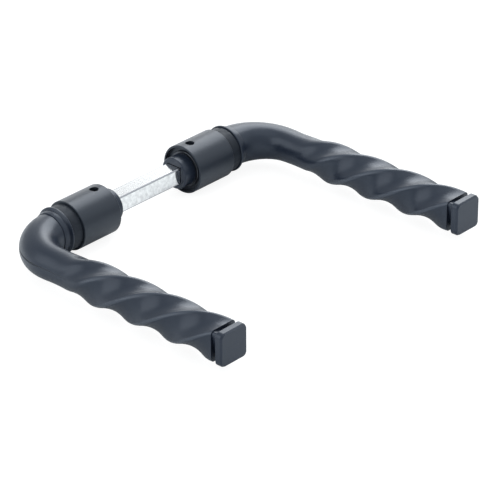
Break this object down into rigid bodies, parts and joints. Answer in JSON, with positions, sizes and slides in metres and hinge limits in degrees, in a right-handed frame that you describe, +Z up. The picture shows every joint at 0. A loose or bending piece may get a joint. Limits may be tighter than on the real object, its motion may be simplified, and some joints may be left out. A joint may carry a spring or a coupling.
{
  "type": "door lever handle pair",
  "caption": "Pair of black door lever handles with left-hand twisted grips and square end caps, clamped by grub screws on a bright square spindle.",
  "frame": {"origin": "middle of the square spindle, on its axis, midway between the two handles", "axes": "+X along the spindle to the right handle, both levers point to -Y, +Z up with the grub screws on top"},
  "size_m": [0.171, 0.136, 0.023],
  "materials": {
    "spindle_zinc": "bright zinc plating, faintly mottled",
    "lever_black": "satin black powder coat",
    "collar_black": "satin black powder coat",
    "spacer_black": "matt black nylon",
    "ring_steel": "dark spring steel",
    "screw_black": "black oxide steel"
  },
  "bodies": {
    "spindle": {"spindle": "spindle_zinc"},
    "left_handle": {"left_lever": "lever_black", "left_collar": "collar_black", "left_spacer_ring": "spacer_black", "left_retaining_ring": "ring_steel"},
    "left_screw": {"left_grub_screw": "screw_black"},
    "right_handle": {"right_lever": "lever_black", "right_collar": "collar_black", "right_spacer_ring": "spacer_black", "right_retaining_ring": "ring_steel"},
    "right_screw": {"right_grub_screw": "screw_black"}
  },
  "joints": [
    {"name": "left_handle_slide", "type": "slide", "parent": "spindle", "child": "left_handle", "axis": [-1, 0, 0], "range_m": [-0.004, 0.012]},
    {"name": "left_screw_feed", "type": "slide", "parent": "left_handle", "child": "left_screw", "axis": [0, 0, 1], "range_m": [0, 0.0014]},
    {"name": "right_handle_slide", "type": "slide", "parent": "spindle", "child": "right_handle", "axis": [1, 0, 0], "range_m": [-0.004, 0.012]},
    {"name": "right_screw_feed", "type": "slide", "parent": "right_handle", "child": "right_screw", "axis": [0, 0, 1], "range_m": [0, 0.0014]}
  ]
}
